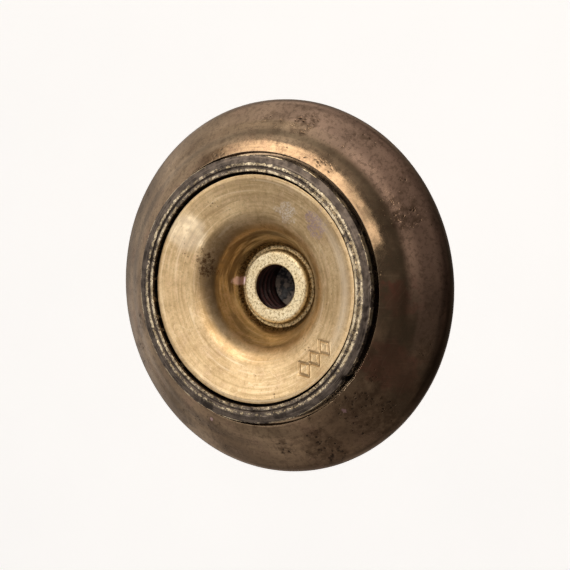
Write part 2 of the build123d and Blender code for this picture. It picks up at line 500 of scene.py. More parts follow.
# %% Mix the bronze
def aged_bronze():
    finish = Finish("aged_bronze_patina", metallic=1.0)
    clouds = finish.cloud(11.0, 4.0)
    drift = finish.cloud(5.0, 5.0, finish.shifted(31.0), 0.62)
    grain = finish.cloud(0.9, 3.0, finish.shifted(7.0))
    brushed = finish.rings(0.55, 3.0, 3.0)

    clusters = finish.level(finish.cloud(6.5, 2.0, finish.shifted(53.0)), 0.55, 0.66)
    where = finish.most(finish.times(clusters, 0.8), finish.spots(PITTED_PATCHES))
    fine = finish.times(finish.pits(0.85, 0.44), where)
    coarse = finish.times(finish.pits(1.9, 0.34), where, finish.level(drift, 0.38, 0.55))
    pitted = finish.most(fine, coarse)
    crust = finish.times(where, finish.level(grain, 0.35, 0.62, 0.15, 0.75))
    hairlines = finish.most(finish.scratches(5.0, 0.25, 35), finish.scratches(6.0, 0.28, 100))
    freckles = finish.level(finish.cloud(0.8, 4.0, finish.shifted(41.0), 0.75), 0.48, 0.62, 0.0, 0.5)
    colour = finish.coats(
        painted_shoulder_reflections(finish, bronze_ground(finish, clouds, drift, brushed)),
        (crust, (0.155, 0.100, 0.062)),
        (finish.times(pitted, 0.95), (0.028, 0.017, 0.012)),
        (finish.times(hairlines, 0.10), (0.72, 0.55, 0.40)),
        (freckles, (0.20, 0.135, 0.09)),
        (finish.spots(DUST_SPOTS), (0.62, 0.42, 0.44)),
    )

    land_polish = finish.times(
        finish.level(finish.radius, 28.2, 27.2), -0.07, finish.level(finish.height, girth_z, 0.0)
    )
    gloss = finish.plus(
        finish.level(drift, 0.3, 0.7, 0.13, 0.25),
        finish.level(grain, 0.4, 0.7, 0.0, 0.05),
        land_polish,
        finish.times(pitted, 0.35),
    )
    smooth = finish.math("SUBTRACT", 1.0, pitted)
    normal = finish.relief((smooth, 0.045), (grain, 0.0030), (brushed, 0.0020))
    return finish.wear(colour, gloss, normal)


bronze = aged_bronze()
print("mixed", bronze.name, "with", len(bronze.node_tree.nodes), "nodes")

# %% [markdown]
# ## The bronze shell
# The outside is three arcs that run into each other: a long shoulder, the tight round of
# the girth and a long bowl.  Two arcs meet smoothly when their centres and their meeting
# point are in line, so a centre is found where two circles cross.  The inside follows the
# same centres with the wall taken off, and the foot is bored for the steel point.


# %% Find the centres of the arcs
def crossing(first, first_radius, second, second_radius, side):
    """Where two circles cross; side 1 is to the left on the way from the first to the second."""
    way = second - first
    along = (way.length**2 + first_radius**2 - second_radius**2) / (2 * way.length)
    across = sqrt(first_radius**2 - along**2)
    ahead = way.normalized()
    return first + ahead * along + Vector((-ahead.y, ahead.x)) * across * side


def on_circle(centre, radius, towards):
    """The point of a circle that lies towards another point."""
    return centre + (towards - centre).normalized() * radius


def above(centre, radius, x, side=1):
    """The point of a circle over a given x: side 1 is its upper half, -1 its lower half."""
    return Vector((x, centre.y + side * sqrt(radius**2 - (x - centre.x) ** 2)))


rim_centre = Vector((girth_radius - rim_round, girth_z))
mouth_edge = Vector((mouth_radius, mouth_z))
bowl_foot = Vector((foot_radius, bowl_foot_z))
shoulder_centre = crossing(rim_centre, shoulder_radius - rim_round, mouth_edge, shoulder_radius, 1)
bowl_centre = crossing(rim_centre, bowl_radius - rim_round, bowl_foot, bowl_radius, -1)
print("shoulder centre", shoulder_centre, "bowl centre", bowl_centre)


# %% Draw the shell's section and spin it
INSIDE, OUTSIDE, SCREW_HOLE = 0, 1, 2
SHELL_STEPS = 420
point_hole_radius = 3.3
point_hole_depth = 11.0
foot_chamfer = 0.4
screw_step = 0.21

shoulder_start = rim_centre + (rim_centre - shoulder_centre).normalized() * rim_round
bowl_start = rim_centre + (rim_centre - bowl_centre).normalized() * rim_round
mouth_hub = above(shoulder_centre, shoulder_radius - mouth_round, mouth_radius + mouth_round)
ogee_hub = above(bowl_centre, bowl_radius + ogee_radius, foot_radius + ogee_radius, -1)

inner_rim_round = rim_round - shell_wall
inner_bowl_radius = bowl_radius - shell_wall
floor_reach = bowl_centre.x + sqrt(inner_bowl_radius**2 - (cavity_floor_z - bowl_centre.y) ** 2)

shell = Outline(0, cavity_floor_z, INSIDE)
shell.line(floor_reach, cavity_floor_z, 2)
shell.arc(bowl_centre, on_circle(rim_centre, inner_rim_round, bowl_start), 12)
shell.arc(rim_centre, on_circle(rim_centre, inner_rim_round, shoulder_start), 4)
shell.arc(shoulder_centre, above(shoulder_centre, shoulder_radius - shell_wall, neck_radius), 4)
shell.path(
    (neck_radius, neck_bottom_z),
    (ledge_radius, neck_bottom_z),
    (ledge_radius, collar_bottom_z),
    (collar_radius, collar_bottom_z),
    (collar_radius, mouth_z - mouth_drop),
    (mouth_radius, mouth_z - mouth_drop),
    (mouth_radius, mouth_hub.y),
)
shell.enter(OUTSIDE)
shell.arc(mouth_hub, on_circle(shoulder_centre, shoulder_radius, mouth_hub), 6)
shell.arc(shoulder_centre, shoulder_start, 26)
shell.arc(rim_centre, bowl_start, 18)
shell.arc(bowl_centre, on_circle(bowl_centre, bowl_radius, ogee_hub), 34)
shell.arc(ogee_hub, Vector((foot_radius, ogee_hub.y)), 12)
shell.line(foot_radius, foot_z + foot_chamfer, 4)
shell.line(foot_radius - foot_chamfer, foot_z)
shell.line(point_hole_radius + foot_chamfer, foot_z, 3)
shell.line(point_hole_radius, foot_z + foot_chamfer)
shell.enter(SCREW_HOLE)
shell.line(point_hole_radius, foot_z + point_hole_depth, int(point_hole_depth / screw_step))
shell.enter(INSIDE)
shell.line(0, foot_z + point_hole_depth)
shell_form = turn(shell, SHELL_STEPS)
print("shell section spun into", len(shell_form.faces), "faces")

# %% [markdown]
# ## Age on the shell, and threads
# A hand-finished casting isn't a perfect surface: its reflections waver.  A slow noise
# sinks the outside by a few hundredths of a millimetre, and seeded knocks sink small
# hollows.  All of it goes inwards, so the bob never grows past its drawing.
# A thread is a spiral groove: how deep a point sinks depends on its height plus its
# share of a turn, so the same rule cuts the cord cap's hole, the foot and the point.
# Each thread is named by three numbers: its pitch, its depth and the width of its crest.


# %% Write the rule for a thread
def thread_depth(point, pitch, depth, crest, low, high):
    """How deep a right-hand thread is at a point; it fades out at both ends of its run."""
    share = (point.z / pitch - atan2(point.y, point.x) / (2 * pi)) % 1.0
    from_crest = abs(share - 0.5) * 2
    flank = min(max((1 - from_crest - crest) / (1 - 2 * crest), 0.0), 1.0)
    fade = min(max((point.z - low) / pitch, 0.0), max((high - point.z) / pitch, 0.0), 1.0)
    return depth * flank * fade


# %% Knock small hollows into the shell
KNOCKS = 60
KNOCK_SIZES = (0.5, 1.9)
KNOCK_DEPTHS = (0.01, 0.05)
knock_random = Random(11)
shell_zones = shell_form.verts.layers.int["zone"]
outside = [vertex for vertex in shell_form.verts if vertex[shell_zones] == OUTSIDE]
nearby = kdtree.KDTree(len(outside))
for number, vertex in enumerate(outside):
    nearby.insert(vertex.co, number)
nearby.balance()
knock_depths = [0.0] * len(outside)
for knock in range(KNOCKS):
    place = knock_random.choice(outside).co
    size = knock_random.uniform(*KNOCK_SIZES)
    deep = knock_random.uniform(*KNOCK_DEPTHS)
    for _, number, gap in nearby.find_range(place, size):
        knock_depths[number] += deep * (1 - (gap / size) ** 2) ** 2
knocked = {vertex: depth for vertex, depth in zip(outside, knock_depths) if depth > 0}
print(KNOCKS, "knocks reach", len(knocked), "points")

# %% Wear the shell
FOOT_THREAD = (1.25, 0.6, 0.2)
LAND_EDGE = 27.55
LAND_TILT = 0.085
LAND_SOFT = 0.12
HOLLOW_RADIUS = 29.7
HOLLOW_DEPTH = 0.085
HOLLOW_WIDTH = 1.0


def mouth_land(radius):
    """The flatter land around the mouth, and the shallow hollow outside it."""
    past = LAND_EDGE - radius
    land = LAND_TILT * LAND_SOFT * log(1 + exp(past / LAND_SOFT))
    return land + HOLLOW_DEPTH * exp(-(((radius - HOLLOW_RADIUS) / HOLLOW_WIDTH) ** 2))


def shell_depth(vertex):
    zone = vertex[shell_zones]
    point = vertex.co
    if zone == SCREW_HOLE:
        return thread_depth(point, *FOOT_THREAD, foot_z, foot_z + point_hole_depth)
    if zone == INSIDE:
        return 0.0
    depth = ripple(point, 0.040, 10) + ripple(point, 0.010, 2.6) + knocked.get(vertex, 0.0)
    if point.z > girth_z:
        depth += mouth_land(hypot(point.x, point.y))
    edge_fade = min(1.0, max(0.0, (point.z - foot_z - 1) / 3))
    return depth * edge_fade


carve(shell_form, shell_depth)
bronze_shell = hand_over(shell_form, "bronze_shell", "bob", "body_shell", [bronze])

# %% [markdown]
# ## Worn collar
# The collar is brass under a nearly black skin.  Fingers and cloths have rubbed the skin
# off its high places: the inner lip and the ridge next to it show speckled yellow metal,
# while the groove between them and the wide outer slope stay dark.  The worn places are
# broken up by noise, and they come and go around the ring.


# %% Name the collar's sizes
collar_bore_radius = collar_radius - collar_wall
lip_radius = collar_bore_radius + 0.7
ridge_radius = lip_radius + 0.4
ridge_width = 0.7
groove_depth = 0.14
collar_fall = 0.4
COLLAR_STAINS = [(23.5, 149, 1.5, 0.6), (24.4, 224.5, 0.7, 0.15)]
print("collar lip out to", round(lip_radius, 2), "ridge from", round(ridge_radius, 2))


# %% Mix the collar's finish
def bare_metal(finish, speckle):
    """Where the dark skin is rubbed off: the lip, the ridge, and parts of the outer edge."""
    patches = finish.cloud(4.5, 3.0, finish.shifted(17.0))
    lip = finish.band(collar_bore_radius, lip_radius - 0.10, 0.10)
    ridge = finish.band(ridge_radius - 0.05, ridge_radius + ridge_width - 0.05, 0.28)
    between = finish.band(lip_radius - 0.1, ridge_radius + 0.1, 0.10)
    edge = finish.band(collar_radius - 0.20, collar_radius + 0.2, 0.05)
    rubbed = finish.most(finish.facing(280, 95), finish.times(finish.facing(90, 80), 0.55))
    high_places = finish.most(lip, ridge, finish.times(between, rubbed, 0.80))
    worn = finish.times(
        high_places,
        finish.level(patches, 0.25, 0.62, 0.72, 1.0),
        finish.plus(finish.times(rubbed, 0.34), 0.70),
    )
    worn = finish.most(worn, finish.times(edge, finish.level(patches, 0.4, 0.6, 0.45, 0.95)))
    return finish.level(finish.plus(worn, finish.times(speckle, 2.6)), 1.88, 2.16)


def worn_collar_finish():
    finish = Finish("dark_collar_worn", metallic=0.85)
    speckle = finish.cloud(0.62, 5.0, roughness=0.85)
    tone = finish.cloud(1.6, 4.0, finish.shifted(3.0))
    bare = bare_metal(finish, speckle)

    turning = finish.level(finish.rings(0.30, 2.5, 3.0), 0.52, 0.64, 0.0, 0.5)
    groove = finish.band(lip_radius + 0.02, ridge_radius - 0.02, 0.07)
    skin = finish.coats(
        finish.paint(finish.level(tone, 0.35, 0.65), (0.062, 0.050, 0.044), (0.165, 0.135, 0.115)),
        (finish.level(speckle, 0.50, 0.62, 0.0, 0.6), (0.045, 0.036, 0.034)),
        (turning, (0.27, 0.22, 0.18)),
        (finish.times(finish.spots(COLLAR_STAINS), 0.8), (0.03, 0.024, 0.020)),
        (finish.times(groove, 0.30), (0.035, 0.028, 0.026)),
    )
    brass = finish.paint(finish.level(tone, 0.4, 0.62), (0.46, 0.37, 0.24), (0.84, 0.72, 0.52))
    # Painted shade: the bore side and the walls under the collar's top are painted near black, where the
    # gaps to the plug and the shell lie in shadow.
    bore_side = finish.level(finish.radius, collar_bore_radius + 0.08, collar_bore_radius + 0.02)
    shaded = finish.level(finish.height, collar_top_z - 0.35, collar_top_z - 0.75)
    shade_down_the_wall = finish.level(finish.height, collar_top_z - 1.15, collar_top_z - 1.75)
    deep = finish.most(shade_down_the_wall, finish.times(bore_side, shaded))
    colour = finish.coats(skin, (bare, brass), (deep, (0.020, 0.012, 0.008)))
    normal = finish.relief((bare, 0.025), (finish.cloud(0.35, 3.0), 0.02))
    return finish.wear(colour, finish.level(bare, 0.0, 1.0, 0.42, 0.30), normal)


collar_finish = worn_collar_finish()
print("mixed", collar_finish.name)

# %% Draw the collar's section and spin it
COLLAR_STEPS = 640
flange_height = 3.0
thread_step = 1.4
edge_round = 0.16
groove_round = 0.07
fine_depth = 0.6
seat_z = dish_rim_z - flange_height
thread_radius = collar_bore_radius - thread_step

collar = Outline(thread_radius, collar_bottom_z)
collar.path(
    (collar_radius, collar_bottom_z),
    (collar_radius, collar_top_z - collar_fall),
    (ridge_radius + ridge_width, collar_top_z),
    (ridge_radius, collar_top_z),
    (lip_radius + (ridge_radius - lip_radius) / 2, collar_top_z - groove_depth),
    (lip_radius, collar_top_z),
    (collar_bore_radius, collar_top_z),
    (collar_bore_radius, seat_z),
    (thread_radius, seat_z),
)
first_corner = min(collar.form.verts, key=lambda vertex: vertex.index)
bmesh.ops.contextual_create(collar.form, geom=[collar.pen, first_corner])
collar.soften(collar_radius, collar_top_z - collar_fall, edge_round)
collar.soften(ridge_radius + ridge_width, collar_top_z, 0.5, 3)
collar.soften(ridge_radius, collar_top_z, groove_round, 3)
collar.soften(lip_radius, collar_top_z, groove_round, 3)
collar.soften(collar_bore_radius, collar_top_z, edge_round)
collar.refine(0.2, lambda radius, z: z > collar_top_z - fine_depth)
collar_form = turn(collar, COLLAR_STEPS)
print("collar section spun into", len(collar_form.faces), "faces")

# %% Nick the collar
NICK_SIZE, NICK_START, NICK_DEPTH = 0.7, 0.18, 0.22
BITE_AZIMUTH = radians(224.5)
BITE_REACH, BITE_DEPTH = 0.75, 0.45
bite_place = Vector((collar_radius * cos(BITE_AZIMUTH), collar_radius * sin(BITE_AZIMUTH)))


def collar_depth(vertex):
    """Nicks along the high places of the collar's top, and one bite out of its edge."""
    point = vertex.co
    if point.z < collar_top_z - fine_depth:
        return 0.0
    radius = hypot(point.x, point.y)
    nick = max(0.0, noise.noise(point / NICK_SIZE) - NICK_START) * NICK_DEPTH
    edge = 1.0 if radius > collar_radius - 0.5 or radius < ridge_radius + ridge_width else 0.3
    bite = max(0.0, 1 - (point.xy - bite_place).length / BITE_REACH) * BITE_DEPTH
    return nick * edge + ripple(point, 0.02, 3) + bite


carve(collar_form, collar_depth)
worn_collar = hand_over(
    collar_form, "worn_collar", "bob", "mouth_collar", [collar_finish]
)

# %% [markdown]
# ## Turned brass
# The plug's dish was faced on a lathe and only lightly rubbed since, so it keeps its
# turning marks: fine rings about the hole.  Rings scatter light across themselves more
# than along themselves, which is what an anisotropic shader does, and a few deeper ones
# are raised as relief.  The boss in the middle is paler and sandy, and the hole is painted
# near black.

# %% Say where the dish has aged and where highlights are painted
PITTED_PLACES = [(15.2, 259.5, 1.6, 0.6), (13.0, 56.5, 1.9, 0.9)]
STAINED_PLACES = [(12.75, 60, 1.5, 1.2), (12.4, 68, 1.4, 1.2)]
BLOOM_PLACE = (17.5, 306.5, 2.6, 1.4)
PALE_HIGHLIGHT_PLACE = (15.6, 328, 2.2, 1.4)
PAINT_DROP = (8.2, 76.5, 1.05, 0.15)
GLINT_PLACE = (17.8, 48, 4.6, 0.5)
WIPES = [(4.0, 0.22, 15), (5.0, 0.24, 70), (4.5, 0.22, 125)]
print(len(PITTED_PLACES) + len(STAINED_PLACES), "pitted and stained places in the dish")


# %% Mix the dish's brass
def brass_ground(finish, drift, grain, mottle, rings, cut_rings):
    """Warm brass, with its turning rings and the hairlines of many wipes."""
    clouds = finish.cloud(7.0, 4.0)
    hairlines = finish.most(*[finish.scratches(*line) for line in WIPES])
    return finish.coats(
        finish.paint(finish.level(clouds, 0.3, 0.7), (0.63, 0.455, 0.255), (0.78, 0.59, 0.35)),
        (finish.level(drift, 0.5, 0.72, 0.0, 0.35), (0.74, 0.54, 0.38)),
        (finish.level(rings, 0.42, 0.70, 0.0, 0.35), (0.40, 0.28, 0.13)),
        (finish.level(grain, 0.55, 0.72, 0.0, 0.35), (0.34, 0.24, 0.12)),
        (finish.times(hairlines, finish.level(clouds, 0.42, 0.62, 0.05, 0.30)), (0.98, 0.82, 0.60)),
        (finish.level(mottle, 0.50, 0.66, 0.0, 0.45), (0.36, 0.24, 0.12)),
        (finish.level(mottle, 0.46, 0.34, 0.0, 0.40), (0.98, 0.78, 0.52)),
        (finish.level(cut_rings, 0.52, 0.66, 0.0, 0.5), (0.40, 0.27, 0.13)),
        (finish.level(cut_rings, 0.44, 0.32, 0.0, 0.4), (1.0, 0.84, 0.60)),
    )


def well_dirt_and_shade(finish, colour):
    """Dirt in the well's rings, painted darker as shade on the side facing 40 degrees, and a dark sandy
    band in the trough by the boss.
    """
    # Partly real dirt in the rings, partly painted shade: the dirt is painted darker on the well's side
    # facing 40 degrees, where the steep wall is in shade.
    dirt_and_shade = finish.times(
        finish.level(finish.radius, 12.8, 9.4),
        finish.level(finish.rings(0.6, 0.9, 3.0), 0.42, 0.58, 0.05, 1.0),
        finish.plus(finish.times(finish.facing(40, 110), 0.55), 0.42),
    )
    sand = finish.cloud(0.45, 4.0, finish.shifted(31.0), 0.8)
    sandy = finish.paint(finish.level(sand, 0.42, 0.58), (0.50, 0.37, 0.20), (0.10, 0.07, 0.035))
    return finish.coats(colour, (dirt_and_shade, (0.20, 0.14, 0.075)), (finish.band(6.6, 8.5, 0.40), sandy))


def dish_marks(finish, colour, grain, mottle, glint_spot):
    """Bloom, a stain, old paint and a dirty punch mark, with three painted highlights: a pale spot, a
    glint and a streak.
    """
    bloom = finish.times(finish.spot(*BLOOM_PLACE), finish.level(grain, 0.40, 0.6, 0.15, 0.80))
    # Painted highlight: a pale spot where the bend of the dish mirrors a light.
    pale = finish.times(finish.spot(*PALE_HIGHLIGHT_PLACE), finish.level(grain, 0.46, 0.60, 0.1, 0.6))
    stain = finish.times(finish.spots(STAINED_PLACES), finish.level(mottle, 0.40, 0.56, 0.15, 0.85))
    # Painted highlight: a pale streak on the bend facing 268 degrees, where the dish mirrors a light.
    painted_streak = finish.times(finish.band(18.3, 19.3, 1.0), finish.facing(268, 48), 0.6)
    struck = finish.node("Attribute", attribute_name="struck").outputs["Fac"]
    return finish.coats(
        colour,
        (bloom, (0.46, 0.34, 0.38)),
        (pale, (1.0, 0.93, 0.86)),
        (stain, (0.15, 0.08, 0.035)),
        # Painted highlight: the glint.
        (finish.times(glint_spot, 0.30), (1.0, 0.90, 0.72)),
        (painted_streak, (1.0, 0.87, 0.70)),
        (finish.spot(*PAINT_DROP), (1.0, 0.78, 0.86)),
        (finish.times(struck, 0.85), (0.10, 0.06, 0.03)),
    )


# %% Put the dish's finish together
def turned_brass_finish():
    finish = Finish("turned_brass_dish", metallic=1.0)
    finish.shader.inputs["Anisotropic"].default_value = 0.55
    tangent = finish.node("Tangent", direction_type="RADIAL", axis="Z").outputs[0]
    feed(finish.tree, finish.shader.inputs["Tangent"], tangent)

    drift = finish.cloud(2.4, 4.0, finish.shifted(13.0), 0.6)
    grain = finish.cloud(0.33, 2.0, finish.shifted(5.0))
    mottle = finish.cloud(1.0, 4.0, finish.shifted(23.0), 0.8)
    fine_rings = finish.rings(0.22, 1.6, 2.0)
    broad_rings = finish.rings(0.8, 1.1, 3.0)
    cut_rings = finish.rings(0.45, 1.2, 4.0)
    scattered = finish.level(finish.cloud(5.0, 2.0, finish.shifted(71.0)), 0.60, 0.68)
    pits = finish.times(finish.pits(0.62, 0.34), finish.most(finish.spots(PITTED_PLACES), scattered))
    # The glint spot carries a painted highlight, and the metal there is a little less rough.
    glint_spot = finish.spot(*GLINT_PLACE)

    colour = brass_ground(finish, drift, grain, mottle, fine_rings, cut_rings)
    colour = finish.coats(well_dirt_and_shade(finish, colour), (finish.times(pits, 0.75), (0.09, 0.05, 0.03)))
    colour = dish_marks(finish, colour, grain, mottle, glint_spot)
    # Painted shade: the plug's flank down in the gap to the collar is painted near black, blackest on the
    # side facing 90 degrees, where the gap is seen deepest.
    flank = finish.level(finish.radius, plug_radius - 0.12, plug_radius - 0.02)
    deep = finish.times(flank, finish.level(finish.height, dish_rim_z - 0.2, dish_rim_z - 0.8))
    gap_shade = finish.paint(finish.facing(90, 110), (0.10, 0.065, 0.035), (0.03, 0.018, 0.010))
    colour = finish.paint(deep, colour, gap_shade)

    roughness = finish.plus(
        finish.level(drift, 0.3, 0.7, 0.36, 0.48), finish.times(pits, 0.2), finish.times(glint_spot, -0.07)
    )
    smooth = finish.math("SUBTRACT", 1.0, pits)
    normal = finish.relief((fine_rings, 0.008), (broad_rings, 0.018), (cut_rings, 0.012), (smooth, 0.04))
    return finish.wear(colour, roughness, normal)


dish_brass = turned_brass_finish()
print("mixed", dish_brass.name, "with", len(dish_brass.node_tree.nodes), "nodes")


# %% Mix the boss's sandy brass
def sandy_brass_finish():
    finish = Finish("sandy_brass_boss", metallic=1.0)
    grain = finish.cloud(0.45, 4.0, roughness=0.8)
    clouds = finish.cloud(2.2, 3.0, finish.shifted(9.0))
    specks = finish.times(finish.pits(0.6, 0.30), finish.level(clouds, 0.50, 0.62), 0.6)
    side = finish.level(finish.plus(finish.height, finish.times(grain, 0.6)), -0.05, -0.45)
    rough_side = finish.paint(finish.level(grain, 0.42, 0.60), (0.62, 0.47, 0.27), (0.13, 0.09, 0.045))
    colour = finish.coats(
        finish.paint(finish.level(clouds, 0.3, 0.7), (0.92, 0.78, 0.52), (1.0, 0.90, 0.66)),
        (finish.level(grain, 0.47, 0.62, 0.0, 0.85), (0.40, 0.30, 0.14)),
        (specks, (0.20, 0.13, 0.06)),
        (side, rough_side),
    )
    return finish.wear(colour, finish.level(grain, 0.3, 0.7, 0.42, 0.58), finish.relief((grain, 0.045)))


boss_brass = sandy_brass_finish()
print("mixed", boss_brass.name)


# %% Mix the near-black colour of the hole
def dark_bore_finish():
    finish = Finish("near_black_bore", metallic=0.6)
    clouds = finish.cloud(1.8, 4.0)
    crest = finish.level(finish.radius, 4.75, 4.25)
    rust = finish.times(crest, finish.level(clouds, 0.4, 0.6, 0.25, 0.9))
    floor_dirt = finish.level(finish.height, -7.0, -7.6)
    sludge = finish.paint(finish.level(clouds, 0.44, 0.58), (0.020, 0.022, 0.028), (0.26, 0.22, 0.20))
    # The hole is painted near black.
    near_black = finish.paint(clouds, (0.010, 0.005, 0.006), (0.022, 0.012, 0.014))
    colour = finish.coats(near_black, (rust, (0.085, 0.030, 0.030)), (floor_dirt, sludge))
    return finish.wear(colour, finish.level(clouds, 0.35, 0.65, 0.30, 0.62), finish.relief((clouds, 0.15)))


bore_material = dark_bore_finish()
print("mixed", bore_material.name)

# %% [markdown]
# ## The dished plug
# The section is drawn with sharp corners first, because that is how a maker's drawing
# gives it, and then each corner gets its own round: a wide roll from the dish into the
# well, small rounds at the foot of the boss and a soft edge on the boss.  The long
# stretches are cut fine afterwards, the hole finest, so that the thread has something
# to cut into.

# %% Work out the plug's corners
DISH, BOSS, BORE, HIDDEN = 0, 1, 2, 3
PLUG_STEPS = 280
rim_land = 0.8
trough_width = 0.9
trough_round = 0.35
boss_radius = 6.85
boss_round = 0.7
dish_roll = 6.0
trough_z = -1.6
dish_edge_radius = plug_radius - rim_land
well_foot_radius = boss_radius + trough_width
outer_rise = tan(radians(16.0))
well_rise = tan(radians(61.0))
hole_radius = 4.19
hole_chamfer = 0.2
hole_depth = 7.5
drill_depth = hole_depth + hole_radius / tan(radians(118.0 / 2))
hub_radius = 11.0
web_height = 4.0
skirt_width = 3.0
web_z = trough_z - web_height
skirt_radius = thread_radius - skirt_width

bend_drop = dish_rim_z - trough_z - outer_rise * dish_edge_radius + well_rise * well_foot_radius
bend_radius = bend_drop / (well_rise - outer_rise)
bend_z = trough_z + well_rise * (bend_radius - well_foot_radius)
print("dish bends into the well at radius", round(bend_radius, 2), "height", round(bend_z, 2))

# %% Draw the plug's section and spin it
plug = Outline(0, -drill_depth, BORE)
plug.line(hole_radius, -hole_depth, 8)
plug.line(hole_radius, -hole_chamfer, 76)
plug.enter(BOSS)
plug.path((hole_radius + hole_chamfer, 0), (boss_radius, 0), (boss_radius, trough_z))
plug.enter(DISH)
plug.path(
    (well_foot_radius, trough_z),
    (bend_radius, bend_z),
    (dish_edge_radius, dish_rim_z),
    (plug_radius, dish_rim_z),
    (plug_radius, seat_z),
)
plug.enter(HIDDEN)
plug.path(
    (thread_radius, seat_z),
    (thread_radius, collar_bottom_z),
    (skirt_radius, collar_bottom_z),
    (hub_radius, web_z),
    (hub_radius, hub_bottom_z),
    (0, hub_bottom_z),
)
plug.soften(bend_radius, bend_z, dish_roll, 20)
plug.soften(plug_radius, dish_rim_z, 0.12)
plug.soften(dish_edge_radius, dish_rim_z, 0.25, 3)
plug.soften(boss_radius, 0, boss_round, 6)
plug.soften(boss_radius, trough_z, trough_round)
plug.soften(well_foot_radius, trough_z, trough_round)
plug.refine(0.25, lambda radius, z: boss_radius - 0.2 < radius < plug_radius and z > trough_z - 0.1)
plug.refine(0.3, lambda radius, z: radius <= boss_radius and z > -0.1)
plug_form = turn(plug, PLUG_STEPS)
print("plug section spun into", len(plug_form.faces), "faces")

# %% [markdown]
# ## A maker's punch mark
# Instead of a name, the dish carries three plain punched diamonds in a row.
# The punch needs a finer mesh than the rest, so the faces under it are cut into a grid
# first.  How deep a point sinks depends on its distance from the nearest stroke, and a
# little metal is pushed up beside it, as a real punch does.

# %% Cut a fine grid under the mark
MARK_AZIMUTH = 218.5
MARK_RADIUS = 17.2
MARK_WIDE, MARK_TALL = 4.6, 3.0
MARK_CUTS = 3
STROKE = 0.27
STROKE_DEPTH = 0.20
BURR_DEPTH = 0.035
DIAMOND_PLACES = (-2.9, 0.0, 2.9)
DIAMOND_WIDE, DIAMOND_TALL = 1.25, 1.7

mark_out = Vector((cos(radians(MARK_AZIMUTH)), sin(radians(MARK_AZIMUTH))))
mark_along = Vector((-mark_out.y, mark_out.x))


def mark_place(point):
    """A point in the mark's own frame: along the rim, and out from the hole."""
    return Vector((point.xy.dot(mark_along), point.xy.dot(mark_out) - MARK_RADIUS))


def near_mark(point):
    local = mark_place(point)
    return point.z > 0 and abs(local.x) < MARK_WIDE and abs(local.y) < MARK_TALL


mark_edges = [
    edge for edge in plug_form.edges if near_mark(edge.verts[0].co) and near_mark(edge.verts[1].co)
]
bmesh.ops.subdivide_edges(plug_form, edges=mark_edges, cuts=MARK_CUTS, use_grid_fill=True)
plug_form.normal_update()
print("mark grid cut from", len(mark_edges), "edges")


# %% Lay out the mark's strokes
def segment_gap(point, start, end):
    """Distance from a point to a straight stroke."""
    way = end - start
    share = min(max((point - start).dot(way) / way.length_squared, 0.0), 1.0)
    return (point - start - way * share).length


strokes = []
for middle in DIAMOND_PLACES:
    left, right = Vector((middle - DIAMOND_WIDE, 0)), Vector((middle + DIAMOND_WIDE, 0))
    for tip in (Vector((middle, DIAMOND_TALL)), Vector((middle, -DIAMOND_TALL))):
        strokes += [(left, tip), (tip, right)]
print("the mark has", len(strokes), "strokes")

# %% Punch the mark, cut the thread, leave the turning marks
CORD_THREAD = (1.5, 0.8, 0.14)
TURNING_PITCH = 1.7
struck_share = plug_form.verts.layers.float.new("struck")
plug_zones = plug_form.verts.layers.int["zone"]


def plug_depth(vertex):
    point = vertex.co
    zone = vertex[plug_zones]
    if zone == BORE:
        return thread_depth(point, *CORD_THREAD, -hole_depth, -hole_chamfer)
    if zone == BOSS and point.z > -0.2:
        return ripple(point, 0.02, 0.9)
    if zone != DISH:
        return 0.0
    run = Vector((hypot(point.x, point.y) * TURNING_PITCH, point.z * TURNING_PITCH, 0.0))
    depth = ripple(run, 0.012, 1) + ripple(point, 0.02, 6)
    if near_mark(point):
        local = mark_place(point)
        gap = min(segment_gap(local, start, end) for start, end in strokes)
        sunk = max(0.0, 1 - gap / STROKE)
        burr = max(0.0, 1 - abs(gap - STROKE * 1.5) / (STROKE * 0.6))
        vertex[struck_share] = sunk * sunk
        depth += STROKE_DEPTH * sunk * (2 - sunk) - BURR_DEPTH * burr
    return depth


carve(plug_form, plug_depth)
print("deepest point of the mark", round(STROKE_DEPTH, 2), "mm")

# %% Hand over the plug
DISH_FINISH, BOSS_FINISH, BORE_FINISH = 0, 1, 2
BORE_REACH = 0.9
BOSS_REACH = 0.05


def plug_finish_of(face):
    middle = face.calc_center_median()
    radius = hypot(middle.x, middle.y)
    if radius < hole_radius + BORE_REACH and -drill_depth <= middle.z < -hole_chamfer:
        return BORE_FINISH
    if radius < boss_radius + BOSS_REACH and middle.z > trough_z:
        return BOSS_FINISH
    return DISH_FINISH


dished_top = hand_over(
    plug_form,
    "dished_top",
    "bob",
    "dished_plug",
    [dish_brass, boss_brass, bore_material],
    plug_finish_of,
)

# %% [markdown]
# ## Steel point and lead
# The point is a turned steel cone on a threaded shank, so that a blunted one can be
# changed.  It keeps faint turning rings, heat-grey blotches and a few rust flecks.
# The lead inside is never seen unless the bob is opened: the solid from the drawing is
# already right, so it only gets a dull cast finish.


# %% Mix the steel and the lead
def point_steel_finish():
    finish = Finish("point_steel_turned", metallic=1.0)
    clouds = finish.cloud(4.0, 4.0)
    rings = finish.rings(0.35, 1.2, 2.0)
    rust = finish.times(finish.pits(0.9, 0.30), finish.level(clouds, 0.50, 0.62), 0.8)
    colour = finish.coats(
        finish.paint(finish.level(clouds, 0.3, 0.7), (0.36, 0.34, 0.32), (0.56, 0.55, 0.53)),
        (finish.level(rings, 0.45, 0.7, 0.0, 0.4), (0.22, 0.21, 0.20)),
        (rust, (0.16, 0.07, 0.035)),
    )
    return finish.wear(colour, finish.level(clouds, 0.3, 0.7, 0.24, 0.40), finish.relief((rings, 0.010)))


